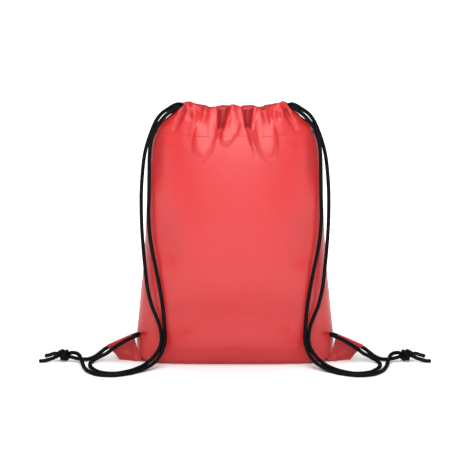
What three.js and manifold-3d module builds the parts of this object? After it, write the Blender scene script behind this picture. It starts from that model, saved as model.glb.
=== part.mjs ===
// Drawstring backpack: a cloth bag with a gathered mouth and two braided cords.
// Millimetres, +Z up. The bag stands on its bottom at z = 0 and its front faces -Y.
import * as THREE from 'three';
import { mergeVertices } from 'three/addons/utils/BufferGeometryUtils.js';
import Module from 'manifold-3d';

const wasm = await Module();
wasm.setup();

// ---- Driving dimensions -------------------------------------------------------------------------
const CLOTH = 2.5; // wall of the bag, one cloth with its folds
const TOUCH_GAP = 0.4; // between pieces that are sewn or rest on each other
const CASING_START = 346; // height where the panels end and the hems begin
const MOUTH_HALF_GAP = 9.5; // from the middle plane to each casing
const CHANNEL = { halfLength: 130, y: [13, 26], z: [367.5, 396.5] };
const HEM_END = { fromX: 66, y: [9, 26], z: [380.5, 396.5] }; // the open end of a hem, where cords turn
const SEAM_WIDTH = 10;
const CORD_DIAMETER = 5.5;
const THREAD_DIAMETER = 1.2;
const AROUND = 44; // facets round the bag

// Sections of the filled bag from the floor up: half width, half depth and how square each one is.
const BAG_SECTIONS = [
  { z: 0, width: 141, depth: 38, square: 3.4 },
  { z: 4, width: 145, depth: 42, square: 3.4 },
  { z: 14, width: 148, depth: 46, square: 3 },
  { z: 33, width: 149.5, depth: 50, square: 2.5 },
  { z: 55, width: 148, depth: 54, square: 2.3 },
  { z: 100, width: 144, depth: 58, square: 2.2 },
  { z: 140, width: 139.5, depth: 60, square: 2.2 },
  { z: 200, width: 135.5, depth: 60, square: 2.2 },
  { z: 255, width: 133, depth: 57, square: 2.3 },
  { z: 300, width: 130, depth: 52, square: 2.5 },
  { z: 330, width: 126, depth: 47, square: 2.8 },
  { z: 349, width: 120, depth: 43, square: 3.2 },
  { z: 364, width: 112, depth: 40, square: 3.6 },
  { z: 376, width: 99, depth: 37, square: 4 },
  { z: 388, width: 87, depth: 33.5, square: 4.5 },
  { z: 396, width: 81, depth: 30, square: 4.5 },
  { z: 401, width: 74, depth: 25, square: 4 },
];

// The left cord: through the casings, down both strands of the strap, along the floor to the knot.
// Each strand keeps a small gap at both ends, where it turns.
// The right cord is its mirror image, apart from its height inside the casings.
const CASING_RUN = [
  [-86, -22.5, 388.5], [-64, -22.2, 384], [-30, -20.6, 376.5], [0, -19.5, 375.5], [30, -18.4, 376.5],
  [62, -16.6, 383.6], [74, -16.4, 386.6], [82, -14.2, 388.2], [88, -8.2, 388.2], [90.5, 0, 388.2],
  [88, 8.2, 388.2], [82, 14.2, 388.2], [74, 16.4, 386.6], [62, 16.6, 383.6], [30, 18.4, 376.5],
  [0, 19.5, 375.5], [-30, 20.6, 376.5], [-64, 22.2, 384], [-86, 22.5, 388.5],
];
const CASING_RUN_LIFT = 3.9; // how far the left cord lies above that line in the middle, and the right below
const FRONT_STRAND = [
  [-89, -22.6, 387.6], [-98, -23.5, 382], [-106, -24, 375], [-113.5, -24, 366], [-120, -24.5, 355.5],
  [-125, -25, 342], [-128, -25, 322], [-129, -25, 290], [-129.5, -26, 255], [-130.3, -27, 230],
  [-129, -29.5, 203], [-125, -35, 176], [-120, -40, 152], [-114, -44.5, 122.5], [-108.5, -48, 88],
  [-106.5, -50, 64], [-105.5, -53, 41], [-107.7, -57, 29.5], [-112.1, -63, 19.9], [-116.6, -70, 14.3],
  [-123.8, -79, 9], [-134.3, -91, 5.1], [-141.8, -99, 3.4],
];
const FRONT_FLOOR_RUN = [
  [-144.4, -101.3, 3.1], [-157.5, -116.4, 3], [-180, -130.3, 3], [-202.5, -126, 3], [-217.5, -105, 3],
  [-226.5, -73.5, 3], [-230, -50, 4], [-232.5, -38, 7.5], [-236, -27, 11.7], [-242, -19, 13.2],
  [-248.5, -15.5, 13],
];
const BACK_SHOULDER = [
  [-87.8, 22.4, 388.2], [-93, 21.8, 386.2], [-100, 20.5, 382], [-109.5, 16, 376], [-116, 10, 369.5],
  [-121.5, 3, 360.5], [-126.3, -2.6, 349],
];
const BACK_STRAND = [
  [-127.5, -4, 346], [-132.5, -9, 331], [-136, -12, 316], [-138.5, -13.5, 297], [-141, -14, 263],
  [-141.3, -15, 232], [-140.5, -17, 205], [-138.5, -21.5, 176], [-135.5, -28, 145], [-131.5, -35, 114],
  [-125.2, -41, 90], [-118, -45.2, 73], [-112.6, -47.4, 58], [-110.8, -49.4, 41], [-112.3, -52.7, 31.5],
  [-116, -57.5, 24.2], [-120.7, -64, 18.7], [-127.2, -72.4, 13.2], [-137.3, -84, 8], [-147.8, -94.5, 5.2],
];
const BACK_FLOOR_RUN = [
  [-150.2, -96.5, 4.7], [-159, -102.5, 3.2], [-180, -117.3, 3], [-199.5, -110.4, 3], [-210, -93.1, 3],
  [-217, -70.6, 3], [-218.7, -51.6, 3], [-216.8, -36, 3.2], [-211.5, -27.5, 5.2], [-204, -22, 8.4],
  [-195, -19, 12.4], [-187, -18, 18.2], [-178.5, -19, 24.6], [-172, -23.5, 29.5], [-163.5, -30.2, 35.6],
  [-154.8, -34.4, 40.6], [-147.8, -31.8, 43], [-145.4, -24.8, 43.6], [-149, -18, 42],
  [-155.3, -14.3, 38.6], [-165, -11.7, 33.3], [-178, -9, 26.8], [-192, -6, 20], [-198, -5.5, 16.5],
  [-205, -7, 11.2], [-212, -11, 6.6], [-220, -16.5, 4], [-229, -21.5, 4], [-238, -24, 5.4],
  [-247.5, -22.5, 7.6],
];
const KNOT = { centre: [-260, -18, 9.9], half: [10.5, 9.5, 9.5] };
const BACK_TAIL = [[-270.6, -13, 11], [-276, -6, 9.5], [-282, 1, 6], [-289.5, 8, 3]];
const FRONT_TAIL = [[-271, -22, 8.2], [-278, -24.5, 5.5], [-286, -27.5, 3.6], [-297, -30, 3]];

// The left corner tab: a folded loop of cloth whose fold line holds the cord.
const TAB = {
  foldStart: [-155, -13.8, 38.1], // at the bag
  foldEnd: [-192, -6, 20.2], // at the tip
  tunnelRadius: 6.4,
  boreRadius: 4.3,
  clothThickness: 3,
};

// ---- Helpers ------------------------------------------------------------------------------------
const vector = (point) => new THREE.Vector3(...point);
const mirrored = (points) => points.map(([x, y, z]) => [-x, y, z]);

function toSolid(geometry) {
  const bare = geometry.clone();
  bare.deleteAttribute('normal');
  bare.deleteAttribute('uv');
  const merged = mergeVertices(bare, 1e-4);
  return new wasm.Manifold(new wasm.Mesh({
    numProp: 3,
    vertProperties: new Float32Array(merged.attributes.position.array),
    triVerts: new Uint32Array(merged.index.array),
  }));
}

function toGeometry(solid) {
  const mesh = solid.getMesh();
  const geometry = new THREE.BufferGeometry();
  geometry.setAttribute('position', new THREE.BufferAttribute(new Float32Array(mesh.vertProperties), 3));
  geometry.setIndex(new THREE.BufferAttribute(new Uint32Array(mesh.triVerts), 1));
  geometry.computeVertexNormals();
  return geometry;
}

function boxBetween(low, high) {
  const size = high.map((value, axis) => value - low[axis]);
  const centre = high.map((value, axis) => (value + low[axis]) / 2);
  return new THREE.BoxGeometry(...size).translate(...centre);
}

// The bag's section at a height, between the two listed sections next to it.
function sectionAt(z) {
  const upper = Math.max(1, BAG_SECTIONS.findIndex((section) => section.z >= z));
  const above = BAG_SECTIONS[upper];
  const below = BAG_SECTIONS[upper - 1];
  const t = THREE.MathUtils.clamp((z - below.z) / (above.z - below.z), 0, 1);
  const mix = (key) => THREE.MathUtils.lerp(below[key], above[key], t);
  return { width: mix('width'), depth: mix('depth'), square: mix('square') };
}

// A point on the bag's skin at a height and an angle about Z, moved out by a distance.
function skinPoint(z, angle, outward) {
  const { width, depth, square } = sectionAt(z);
  const bend = (value) => Math.sign(value) * Math.abs(value) ** (2 / square);
  return [(width + outward) * bend(Math.cos(angle)), (depth + outward) * bend(Math.sin(angle)), z];
}

// A closed body whose rings follow the bag's skin at the given heights.
function skinLoft(heights, outward) {
  const rings = heights.length - 1;
  const geometry = new THREE.CylinderGeometry(1, 1, 1, AROUND, rings).rotateX(Math.PI / 2);
  const position = geometry.attributes.position;
  for (let i = 0; i < position.count; i++) {
    const x = position.getX(i);
    const y = position.getY(i);
    const z = heights[Math.round((position.getZ(i) + 0.5) * rings)];
    const reach = Math.hypot(x, y);
    const [skinX, skinY] = skinPoint(z, Math.atan2(y, x), outward);
    position.setXYZ(i, reach * skinX, reach * skinY, z);
  }
  return toSolid(geometry);
}

function roundSection(diameter, sides) {
  const section = new THREE.Shape();
  for (let i = 0; i < sides; i++) {
    const angle = (i / sides) * 2 * Math.PI;
    section[i ? 'lineTo' : 'moveTo']((diameter / 2) * Math.cos(angle), (diameter / 2) * Math.sin(angle));
  }
  section.closePath();
  return section;
}

function tube(points, diameter, sides, stepLength) {
  const path = new THREE.CatmullRomCurve3(points.map(vector), false, 'centripetal');
  const steps = Math.max(2, Math.round(path.getLength() / stepLength));
  return new THREE.ExtrudeGeometry(roundSection(diameter, sides), { steps, extrudePath: path });
}

const cordTube = (points, stepLength) => tube(points, CORD_DIAMETER, 8, stepLength);

// ---- Materials ----------------------------------------------------------------------------------
const RED_CLOTH = { color: 0xe8524f, roughness: 0.5, metalness: 0 };
const RED_THREAD = { color: 0xc93a3c, roughness: 0.6, metalness: 0 };
const BLACK_CORD = { color: 0x141416, roughness: 0.7, metalness: 0 };

const backpack = new THREE.Group();

function add(name, geometry, finish) {
  const mesh = new THREE.Mesh(geometry, new THREE.MeshStandardMaterial(finish));
  mesh.name = name;
  backpack.add(mesh);
}

// ---- Bag: two panels, two casings, inner seams and stitching ------------------------------------
const REACH = 500; // further than any piece of the bag

function halfSpace(side, from) {
  const y = [side * from, side * REACH].sort((a, b) => a - b);
  return toSolid(boxBetween([-REACH, y[0], -REACH], [REACH, y[1], REACH]));
}

function panel(side) {
  const outerHeights = BAG_SECTIONS.map((section) => section.z).filter((z) => z < CASING_START);
  const innerHeights = [CLOTH, ...outerHeights.filter((z) => z > 2 * CLOTH)];
  const outer = skinLoft([...outerHeights, CASING_START], 0);
  const inner = skinLoft([...innerHeights, CASING_START + CLOTH], -CLOTH);
  return toGeometry(outer.subtract(inner).intersect(halfSpace(side, TOUCH_GAP / 2)));
}

function casing(side) {
  const heights = BAG_SECTIONS.map((section) => section.z).filter((z) => z > CASING_START + 1);
  const hem = skinLoft([CASING_START + TOUCH_GAP, ...heights], 0).intersect(halfSpace(side, MOUTH_HALF_GAP));
  const y = CHANNEL.y.map((value) => side * value).sort((a, b) => a - b);
  const low = [-CHANNEL.halfLength, y[0], CHANNEL.z[0]];
  const high = [CHANNEL.halfLength, y[1], CHANNEL.z[1]];
  let hollowHem = hem.subtract(toSolid(boxBetween(low, high)));
  const endY = HEM_END.y.map((value) => side * value).sort((a, b) => a - b);
  [[-CHANNEL.halfLength, -HEM_END.fromX], [HEM_END.fromX, CHANNEL.halfLength]].forEach(([from, to]) => {
    const opening = boxBetween([from, endY[0], HEM_END.z[0]], [to, endY[1], HEM_END.z[1]]);
    hollowHem = hollowHem.subtract(toSolid(opening));
  });
  return toGeometry(hollowHem);
}

// A row of stitches under the casing, from one side of the bag to the other.
function casingStitches(side) {
  const points = [];
  for (let facet = 1; facet < AROUND / 2; facet++) {
    const angle = side * facet * (2 * Math.PI / AROUND);
    points.push(skinPoint(CASING_START + 4, angle, THREAD_DIAMETER + 2 * TOUCH_GAP));
  }
  return tube(points, THREAD_DIAMETER, 6, 7);
}

// The seam allowance inside one side of the bag.
function sideSeam(side) {
  const heights = [18, 55, 100, 140, 200, 255, 300, 330, 344];
  const outline = new THREE.Shape();
  const edge = (z, inwards) => side * (sectionAt(z).width - CLOTH - 2 * TOUCH_GAP - inwards);
  heights.forEach((z, i) => outline[i ? 'lineTo' : 'moveTo'](edge(z, 0), z));
  [...heights].reverse().forEach((z) => outline.lineTo(edge(z, SEAM_WIDTH), z));
  outline.closePath();
  const strip = new THREE.ExtrudeGeometry(outline, { depth: CLOTH, bevelEnabled: false });
  return strip.rotateX(Math.PI / 2).translate(0, CLOTH / 2, 0);
}

function bottomSeam() {
  const halfLength = 126;
  const bottom = CLOTH + TOUCH_GAP;
  return boxBetween([-halfLength, -CLOTH / 2, bottom], [halfLength, CLOTH / 2, bottom + SEAM_WIDTH]);
}

[['front', -1], ['back', 1]].forEach(([name, side]) => {
  add(`${name}_panel`, panel(side), RED_CLOTH);
  add(`${name}_casing`, casing(side), RED_CLOTH);
  add(`${name}_casing_stitches`, casingStitches(side), RED_THREAD);
});
add('bottom_seam', bottomSeam(), RED_CLOTH);

// ---- Corner tabs --------------------------------------------------------------------------------
// The frame of a tab: along its fold line, down its cloth, and out of its face.
function tabFrame() {
  const start = vector(TAB.foldStart);
  const along = vector(TAB.foldEnd).sub(start);
  const length = along.length();
  along.normalize();
  const face = new THREE.Vector3(along.y, -along.x, 0).normalize();
  const up = new THREE.Vector3().crossVectors(face, along).normalize();
  if (up.z < 0) {
    up.negate();
  }
  return { start, along, up, length, turn: new THREE.Matrix4().makeBasis(
    new THREE.Vector3().crossVectors(up, along), up, along) };
}

// A teardrop section: the tunnel round the cord, with both layers of cloth hanging below it.
function leftTab() {
  const { start, turn, length } = tabFrame();
  const half = TAB.clothThickness / 2;
  const hang = 60;
  const shoulder = Math.asin(half / TAB.tunnelRadius);
  const section = new THREE.Shape();
  section.moveTo(-half, -hang);
  section.lineTo(half, -hang);
  section.absarc(0, 0, TAB.tunnelRadius, -Math.PI / 2 + shoulder, 1.5 * Math.PI - shoulder, false);
  section.closePath();
  const bore = new THREE.Path();
  bore.absarc(0, 0, TAB.boreRadius, 0, 2 * Math.PI, true);
  section.holes.push(bore);
  const loop = new THREE.ExtrudeGeometry(section, { depth: length, bevelEnabled: false, curveSegments: 10 });
  loop.applyMatrix4(turn).translate(start.x, start.y, start.z);
  const bagSide = skinLoft(BAG_SECTIONS.map((entry) => entry.z), TOUCH_GAP);
  const aboveFloor = toSolid(boxBetween([-REACH, -REACH, 0.3], [REACH, REACH, REACH]));
  return toGeometry(toSolid(loop).intersect(aboveFloor).subtract(bagSide));
}

// One row of stitches across the tab, just under its tunnel.
function leftTabStitches() {
  const { start, along, up, length } = tabFrame();
  const face = new THREE.Vector3().crossVectors(up, along);
  if (face.y > 0) {
    face.negate();
  }
  const drop = up.clone().multiplyScalar(-(TAB.tunnelRadius + 3));
  const lift = face.clone().multiplyScalar((TAB.clothThickness + THREAD_DIAMETER) / 2 + TOUCH_GAP);
  const place = (t) => start.clone().addScaledVector(along, t * length).add(drop).add(lift).toArray();
  return tube([place(0.08), place(0.5), place(0.92)], THREAD_DIAMETER, 6, 14);
}

// The mirror image across the middle plane, with its faces still pointing out.
function mirroredGeometry(geometry) {
  const flipped = geometry.index ? geometry.toNonIndexed() : geometry.clone();
  flipped.scale(-1, 1, 1);
  const position = flipped.attributes.position;
  const [second, third] = [new THREE.Vector3(), new THREE.Vector3()];
  for (let i = 0; i < position.count; i += 3) {
    second.fromBufferAttribute(position, i + 1);
    third.fromBufferAttribute(position, i + 2);
    position.setXYZ(i + 1, ...third.toArray());
    position.setXYZ(i + 2, ...second.toArray());
  }
  return flipped;
}

// ---- Knots --------------------------------------------------------------------------------------
function knot() {
  return new THREE.SphereGeometry(1, 14, 10).scale(...KNOT.half).translate(...KNOT.centre);
}

// ---- Both sides ---------------------------------------------------------------------------------
[['left', -1], ['right', 1]].forEach(([name, side]) => {
  const placed = (points) => (side < 0 ? points : mirrored(points));
  const placedPiece = (geometry) => (side < 0 ? geometry : mirroredGeometry(geometry));
  // Inside the casings the left cord passes over the right one.
  const lift = (x) => -side * CASING_RUN_LIFT * THREE.MathUtils.clamp((86 - Math.abs(x)) / 56, 0, 1);
  const casingRun = CASING_RUN.map(([x, y, z]) => [-side * x, y, z + lift(x)]);

  add(`${name}_side_seam`, sideSeam(side), RED_CLOTH);
  add(`${name}_corner_tab`, placedPiece(leftTab()), RED_CLOTH);
  add(`${name}_tab_stitches`, placedPiece(leftTabStitches()), RED_THREAD);
  add(`${name}_cord_casing_run`, cordTube(casingRun, 14), BLACK_CORD);
  add(`${name}_front_strand`, cordTube(placed(FRONT_STRAND), 15), BLACK_CORD);
  add(`${name}_back_shoulder_run`, cordTube(placed(BACK_SHOULDER), 12), BLACK_CORD);
  add(`${name}_back_strand`, cordTube(placed(BACK_STRAND), 15), BLACK_CORD);
  add(`${name}_front_floor_run`, cordTube(placed(FRONT_FLOOR_RUN), 11), BLACK_CORD);
  add(`${name}_back_floor_run`, cordTube(placed(BACK_FLOOR_RUN), 8), BLACK_CORD);
  add(`${name}_knot`, placedPiece(knot()), BLACK_CORD);
  add(`${name}_front_tail`, cordTube(placed(FRONT_TAIL), 10), BLACK_CORD);
  add(`${name}_back_tail`, cordTube(placed(BACK_TAIL), 10), BLACK_CORD);
});

export default backpack;
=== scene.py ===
# %% [markdown]
# # A drawstring backpack
# The bag is two cloth panels sewn together at the sides and the bottom. The top of each panel is folded
# over into a hem, and two braided cords run through the hems. Each cord leaves the mouth on one side,
# hangs down as two strands, passes a cloth tab at the bottom corner and ends in a knot.
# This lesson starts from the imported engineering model, which fixes every size and every moving body,
# and dresses it with cloth, thread and cord.

# %% Load the frame
import math

import bpy
import numpy as np
from mathutils import Matrix, Vector


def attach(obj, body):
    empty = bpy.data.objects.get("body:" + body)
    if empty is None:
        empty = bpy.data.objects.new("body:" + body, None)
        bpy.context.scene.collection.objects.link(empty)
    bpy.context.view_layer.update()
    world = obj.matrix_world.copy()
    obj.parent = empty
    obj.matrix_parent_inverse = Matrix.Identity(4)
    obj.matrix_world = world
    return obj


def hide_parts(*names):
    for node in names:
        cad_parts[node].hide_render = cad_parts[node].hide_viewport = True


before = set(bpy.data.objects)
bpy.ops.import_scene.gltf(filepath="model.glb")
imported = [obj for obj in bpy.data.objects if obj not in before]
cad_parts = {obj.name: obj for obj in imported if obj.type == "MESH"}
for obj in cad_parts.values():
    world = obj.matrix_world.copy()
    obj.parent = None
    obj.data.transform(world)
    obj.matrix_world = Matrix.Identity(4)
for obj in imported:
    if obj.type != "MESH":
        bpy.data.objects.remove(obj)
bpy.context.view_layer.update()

# %% [markdown]
# ## Camera
# A product picture like this is taken from far away with a long lens, a little from above, so that
# upright lines stay upright. A near camera would make the front corners look too large.

# %% Camera
AIM = Vector((0, -0.045, 0.1995))
ELEVATION = math.radians(10)
DISTANCE = 5.0
PICTURE_WIDTH = 0.705  # metres seen at the aim point
SENSOR = 36.0

camera = bpy.data.objects.new("camera", bpy.data.cameras.new("camera"))
camera.data.sensor_width = SENSOR
camera.data.lens = SENSOR * DISTANCE / PICTURE_WIDTH
camera.data.clip_end = 60
camera.location = AIM + DISTANCE * Vector((0, -math.cos(ELEVATION), math.sin(ELEVATION)))
camera.rotation_euler = (math.pi / 2 - ELEVATION, 0, 0)
bpy.context.scene.collection.objects.link(camera)
bpy.context.scene.camera = camera
print("lens", round(camera.data.lens, 1), "mm at", [round(c, 3) for c in camera.location])

# %% [markdown]
# ## Helpers for meshes
# Cloth and cord are both grids of points bent into shape, so one helper turns a grid into a mesh, with a
# UV map that says where each point lies on the flat cloth or along the cord. Patterns follow that map.

# %% Grid meshes
SIDES = (("left", -1), ("right", 1))


def grid_faces(rows, columns, wraps=False):
    """Quads between neighbouring rows; a wrapping grid also joins its last column to its first."""
    row, column = np.mgrid[0:rows - 1, 0:columns if wraps else columns - 1]
    following = (column + 1) % columns
    corners = (row * columns + column, row * columns + following,
               (row + 1) * columns + following, (row + 1) * columns + column)
    return np.stack([corner.ravel() for corner in corners], axis=1)


def new_object(name, points, faces, uv_of_corners=None):
    mesh = bpy.data.meshes.new(name)
    mesh.from_pydata(np.asarray(points, float).tolist(), [], [list(map(int, face)) for face in faces])
    if uv_of_corners is not None:
        layer = mesh.uv_layers.new(name="surface")
        layer.data.foreach_set("uv", np.asarray(uv_of_corners, np.float32).ravel())
    mesh.update()
    piece = bpy.data.objects.new(name, mesh)
    bpy.context.scene.collection.objects.link(piece)
    return piece


def alone(piece):
    """Selects one object only, so that an operator acts on nothing else."""
    bpy.ops.object.select_all(action="DESELECT")
    piece.select_set(True)
    bpy.context.view_layer.objects.active = piece


def apply_modifiers(piece):
    alone(piece)
    for modifier in list(piece.modifiers):
        bpy.ops.object.modifier_apply(modifier=modifier.name)


def smooth(piece):
    piece.data.polygons.foreach_set("use_smooth", np.ones(len(piece.data.polygons), bool))
    piece.data.update()


def triangles(piece):
    return sum(len(face.vertices) - 2 for face in piece.data.polygons)


def joined(name, pieces):
    """Makes several objects one piece, the first of them."""
    alone(pieces[0])
    for piece in pieces:
        piece.select_set(True)
    bpy.ops.object.join()
    pieces[0].name = pieces[0].data.name = name
    return pieces[0]


def point_values(piece, name, values):
    """Keeps one number for each point of a piece, for its finish to read."""
    layer = piece.data.attributes.new(name, "FLOAT", "POINT")
    layer.data.foreach_set("value", np.asarray(values, np.float32).ravel())


def ramp(value, start, end):
    """0 before start, 1 after end, and a soft step between them."""
    t = np.clip((value - start) / (end - start), 0, 1)
    return t * t * (3 - 2 * t)


# %% [markdown]
# ## Cord route
# A cord is one long piece, so its route is one curve from tail to tail. The points are listed
# where the cord turns, and a curve that passes through all of them keeps the bends soft, as in a limp
# braid. The right cord mirrors the left one, except inside the hems, where one lies over the other.

# %% Route points of the left cord, in metres
CORD_RADIUS = 0.00275
CASING_RUN = [
    (-0.086, -0.0225, 0.3885), (-0.064, -0.0222, 0.384), (-0.03, -0.0206, 0.3765), (0, -0.0195, 0.3755),
    (0.03, -0.0184, 0.3765), (0.062, -0.0166, 0.3836), (0.074, -0.0164, 0.3866), (0.082, -0.0142, 0.3882),
    (0.088, -0.0082, 0.3882), (0.0905, 0, 0.3882), (0.088, 0.0082, 0.3882), (0.082, 0.0142, 0.3882),
    (0.074, 0.0164, 0.3866), (0.062, 0.0166, 0.3836), (0.03, 0.0184, 0.3765), (0, 0.0195, 0.3755),
    (-0.03, 0.0206, 0.3765), (-0.064, 0.0222, 0.384), (-0.086, 0.0225, 0.3885),
]
CASING_RUN_LIFT = 0.0039  # the left cord lies this much higher in the middle, and the right one lower
CASING_LIFT_ENDS = 0.086  # no lift from here outwards
CASING_LIFT_SLOPE = 0.056  # the width over which the lift grows
FRONT_STRAND = [
    (-0.089, -0.0226, 0.3876), (-0.098, -0.0235, 0.382), (-0.106, -0.024, 0.375), (-0.1135, -0.024, 0.366),
    (-0.12, -0.0245, 0.3555), (-0.125, -0.025, 0.342), (-0.128, -0.025, 0.322), (-0.129, -0.025, 0.29),
    (-0.1295, -0.026, 0.255), (-0.1303, -0.027, 0.23), (-0.129, -0.0295, 0.203), (-0.125, -0.035, 0.176),
    (-0.12, -0.04, 0.152), (-0.114, -0.0445, 0.1225), (-0.1085, -0.048, 0.088), (-0.1065, -0.05, 0.064),
    (-0.1055, -0.053, 0.041), (-0.1077, -0.057, 0.0295), (-0.1121, -0.063, 0.0199),
    (-0.1166, -0.07, 0.0143), (-0.1238, -0.079, 0.009), (-0.1343, -0.091, 0.0051), (-0.1418, -0.099, 0.0034),
]
FRONT_FLOOR_RUN = [
    (-0.1444, -0.1013, 0.0031), (-0.1575, -0.1164, 0.003), (-0.18, -0.1303, 0.003), (-0.2025, -0.126, 0.003),
    (-0.2175, -0.105, 0.003), (-0.2265, -0.0735, 0.003), (-0.23, -0.05, 0.004), (-0.2325, -0.038, 0.0075),
    (-0.236, -0.027, 0.0117), (-0.242, -0.019, 0.0132), (-0.2485, -0.0155, 0.013),
]
BACK_SHOULDER = [
    (-0.0878, 0.0224, 0.3882), (-0.093, 0.0218, 0.3862), (-0.1, 0.0205, 0.382), (-0.1095, 0.016, 0.376),
    (-0.116, 0.01, 0.3695), (-0.1215, 0.003, 0.3605), (-0.1263, -0.0026, 0.349),
]
BACK_STRAND = [
    (-0.1275, -0.004, 0.346), (-0.1325, -0.009, 0.331), (-0.136, -0.012, 0.316), (-0.1385, -0.0135, 0.297),
    (-0.141, -0.014, 0.263), (-0.1413, -0.015, 0.232), (-0.1405, -0.017, 0.205), (-0.1385, -0.0215, 0.176),
    (-0.1355, -0.028, 0.145), (-0.1315, -0.035, 0.114), (-0.1252, -0.041, 0.09), (-0.118, -0.0452, 0.073),
    (-0.1126, -0.0474, 0.058), (-0.1108, -0.0494, 0.041), (-0.1123, -0.0527, 0.0315),
    (-0.116, -0.0575, 0.0242), (-0.1207, -0.064, 0.0187), (-0.1272, -0.0724, 0.0132),
    (-0.1373, -0.084, 0.008), (-0.1478, -0.0945, 0.0052),
]
BACK_FLOOR_RUN = [
    (-0.1502, -0.0965, 0.0047), (-0.159, -0.1025, 0.0032), (-0.18, -0.1173, 0.003), (-0.1995, -0.1104, 0.003),
    (-0.21, -0.0931, 0.003), (-0.217, -0.0706, 0.003), (-0.2187, -0.0516, 0.003), (-0.2168, -0.036, 0.0032),
    (-0.2115, -0.0275, 0.0052), (-0.204, -0.022, 0.0084), (-0.195, -0.019, 0.0124), (-0.187, -0.018, 0.0182),
    (-0.1785, -0.019, 0.0246), (-0.172, -0.0235, 0.0295), (-0.1635, -0.0302, 0.0356),
    (-0.1548, -0.0344, 0.0406), (-0.1478, -0.0318, 0.043), (-0.1454, -0.0248, 0.0436),
    (-0.149, -0.018, 0.042), (-0.1553, -0.0143, 0.0386), (-0.165, -0.0117, 0.0333), (-0.178, -0.009, 0.0268),
    (-0.192, -0.006, 0.02), (-0.198, -0.0055, 0.0165), (-0.205, -0.007, 0.0112), (-0.212, -0.011, 0.0066),
    (-0.22, -0.0165, 0.004), (-0.229, -0.0215, 0.004), (-0.238, -0.024, 0.0054), (-0.2475, -0.0225, 0.0076),
]
BACK_TAIL = [(-0.2706, -0.013, 0.011), (-0.276, -0.006, 0.0095), (-0.282, 0.001, 0.006),
             (-0.2895, 0.008, 0.003)]
FRONT_TAIL = [(-0.271, -0.022, 0.0082), (-0.278, -0.0245, 0.0055), (-0.286, -0.0275, 0.0036),
              (-0.297, -0.03, 0.003)]
KNOT_CENTRE = np.array((-0.26, -0.018, 0.0099))
KNOT_HALF = np.array((0.0105, 0.0095, 0.0095))


print("a strap hangs from", FRONT_STRAND[0], "to", FRONT_STRAND[-1])


def for_side(points, side):
    return np.array([(-side * x, y, z) for x, y, z in points])


def casing_run(side):
    points = for_side(CASING_RUN, side)
    lifted = np.clip((CASING_LIFT_ENDS - np.abs(points[:, 0])) / CASING_LIFT_SLOPE, 0, 1)
    points[:, 2] -= side * CASING_RUN_LIFT * lifted
    return points


# %% [markdown]
# ## Curves through the points
# Blender's own Bezier curve could carry the cord, but its braid has to be real relief, so the surface is
# built ring by ring. A centripetal curve never makes loops between close points. The frame that carries
# the rings is turned as little as possible from one ring to the next, so the braid doesn't twist.

# %% Curve and frame along a cord
CURVE_STEPS = 24  # between two given points, before the curve is divided evenly


def curve_through(points, step):
    """Evenly spaced points on a smooth curve through the given ones."""
    points = np.asarray(points, float)
    before = 2 * points[0] - points[1]
    after = 2 * points[-1] - points[-2]
    padded = np.vstack([before, points, after])
    pieces = []
    for p0, p1, p2, p3 in zip(padded, padded[1:], padded[2:], padded[3:]):
        gaps = [math.sqrt(max(1e-9, np.linalg.norm(b - a))) for a, b in ((p0, p1), (p1, p2), (p2, p3))]
        start = (p1 - p0) / gaps[0] - (p2 - p0) / (gaps[0] + gaps[1]) + (p2 - p1) / gaps[1]
        end = (p2 - p1) / gaps[1] - (p3 - p1) / (gaps[1] + gaps[2]) + (p3 - p2) / gaps[2]
        t = np.linspace(0, 1, CURVE_STEPS, endpoint=False)[:, None]
        start, end = start * gaps[1], end * gaps[1]
        pieces.append((2 * t**3 - 3 * t**2 + 1) * p1 + (t**3 - 2 * t**2 + t) * start
                      + (3 * t**2 - 2 * t**3) * p2 + (t**3 - t**2) * end)
    return resampled(np.vstack(pieces + [points[-1:]]), step)


def lengths_along(points):
    """The distance along a line at each of its points."""
    return np.concatenate([[0], np.cumsum(np.linalg.norm(np.diff(points, axis=0), axis=1))])


def resampled(points, step):
    lengths = lengths_along(points)
    places = np.linspace(0, lengths[-1], max(2, round(lengths[-1] / step) + 1))
    return np.stack([np.interp(places, lengths, points[:, axis]) for axis in range(3)], axis=1)


def length_of(points):
    return float(np.linalg.norm(np.diff(points, axis=0), axis=1).sum())


def frames_along(points):
    """Two unit vectors across the curve at each point, turned as little as possible along it."""
    tangents = np.gradient(points, axis=0)
    tangents /= np.linalg.norm(tangents, axis=1)[:, None]
    across = np.cross(tangents[0], (0, 0, 1))
    if np.linalg.norm(across) < 1e-6:
        across = np.array((1.0, 0, 0))
    firsts = []
    for tangent in tangents:
        across = across - tangent * (across @ tangent)
        across /= np.linalg.norm(across)
        firsts.append(across)
    firsts = np.array(firsts)
    return firsts, np.cross(tangents, firsts)


# %% [markdown]
# ## Knot
# Both ends of a cord are tied together in one overhand knot. Its route could be drawn by hand, but two
# thick strands fill such a knot completely, so the route starts as a loose knot curve and is then
# tightened step by step: points that come closer than one cord's width push each other apart, and a
# ball of the knot's size holds them together.

# %% Tighten the knot
KNOT_POINTS = 40
TIGHTENING_STEPS = 500
HELD_POINTS = 2  # at each end of a strand, which stay where the cord enters and leaves
SAME_ROPE = 5  # points this near along one strand don't push each other
LOOP_SPREAD = {"front": 1.15, "back": 0.8}  # the front strand's loop starts outside the back strand's


def loose_knot(entry, leave, spread):
    """An open overhand knot between two points, in the knot's own unit ball."""
    t = np.linspace(math.pi * 1.04, math.pi * 2.96, KNOT_POINTS)
    loops = np.stack([np.cos(t) - 2 * np.cos(2 * t) - 0.6, np.sin(t) + 2 * np.sin(2 * t),
                      -1.6 * np.sin(3 * t)], axis=1) * np.array((-0.2, 0.24, 0.3)) * spread
    line = np.linspace(0, 1, KNOT_POINTS)[:, None]
    weight = np.sin(np.pi * np.clip(line * 1.06 - 0.03, 0, 1)) ** 0.35
    return (1 - weight) * ((1 - line) * entry + line * leave) + weight * loops


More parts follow.
